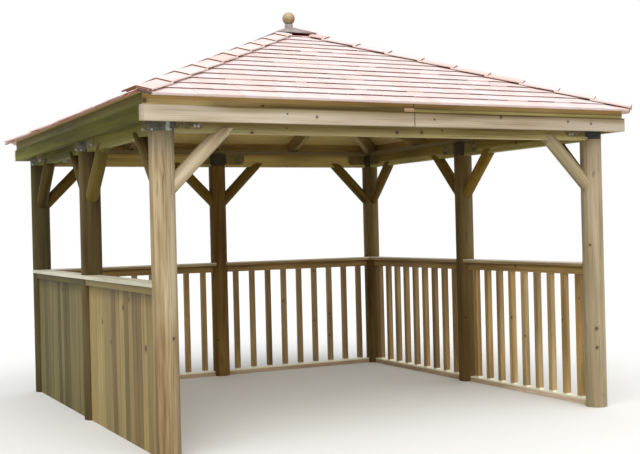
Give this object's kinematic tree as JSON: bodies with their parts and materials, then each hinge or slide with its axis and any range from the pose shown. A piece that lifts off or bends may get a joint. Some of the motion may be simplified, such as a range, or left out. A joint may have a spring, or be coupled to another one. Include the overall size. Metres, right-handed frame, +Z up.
{
  "type": "garden gazebo",
  "caption": "Square open-fronted garden gazebo with round posts, knee braces, balustrades, boarded side panels and a hipped shingle roof with a ball finial.",
  "frame": {"origin": "middle of the plan, on the ground the posts stand on", "axes": "+X to the right along the open front, +Y from the open front to the back, +Z up"},
  "size_m": [3.8598, 3.8598, 3.0985],
  "materials": {
    "post_wood": "round planed softwood, pressure treated, weathered to pale tan",
    "beam_wood": "planed treated softwood with a green tint",
    "plate_wood": "planed treated softwood",
    "brace_wood": "round planed softwood",
    "balustrade_wood": "planed treated softwood",
    "cap_rail_wood": "planed treated softwood",
    "panel_wood": "tongued and grooved upright boards",
    "fascia_wood": "planed softwood, pale",
    "eaves_wood": "planed treated softwood",
    "shingle_wood": "sawn cedar shingles, weathered pale pink",
    "hip_cap_wood": "sawn cedar boards",
    "deck_wood": "boards seen from inside",
    "rafter_wood": "sawn treated softwood",
    "galvanised_steel": "hot-dip galvanised, dull grey",
    "apex_metal": "plain folded sheet, dull pale grey",
    "finial_wood": "turned softwood"
  },
  "bodies": {
    "root": {"apex_cap": "apex_metal", "back_braces": "brace_wood", "back_cap_rails": "cap_rail_wood", "back_fascia": "fascia_wood", "back_left_balustrade": "balustrade_wood", "back_left_beam": "beam_wood", "back_left_post": "post_wood", "back_middle_post": "post_wood", "back_right_balustrade": "balustrade_wood", "back_right_beam": "beam_wood", "back_right_post": "post_wood", "back_shingles": "shingle_wood", "corner_brackets": "galvanised_steel", "eaves_boards": "eaves_wood", "finial_ball": "finial_wood", "front_beam": "beam_wood", "front_braces": "brace_wood", "front_fascia": "fascia_wood", "front_left_post": "post_wood", "front_right_post": "post_wood", "front_shingles": "shingle_wood", "hip_caps": "hip_cap_wood", "hip_rafters": "rafter_wood", "king_post": "rafter_wood", "left_back_beam": "beam_wood", "left_back_panel": "panel_wood", "left_braces": "brace_wood", "left_cap_rails": "cap_rail_wood", "left_fascia": "fascia_wood", "left_front_beam": "beam_wood", "left_front_panel": "panel_wood", "left_shingles": "shingle_wood", "middle_brackets": "galvanised_steel", "middle_left_post": "post_wood", "middle_right_post": "post_wood", "rafters": "rafter_wood", "right_back_balustrade": "balustrade_wood", "right_back_beam": "beam_wood", "right_braces": "brace_wood", "right_cap_rails": "cap_rail_wood", "right_fascia": "fascia_wood", "right_front_balustrade": "balustrade_wood", "right_front_beam": "beam_wood", "right_shingles": "shingle_wood", "roof_deck": "deck_wood", "wall_plates": "plate_wood"}
  },
  "joints": []
}
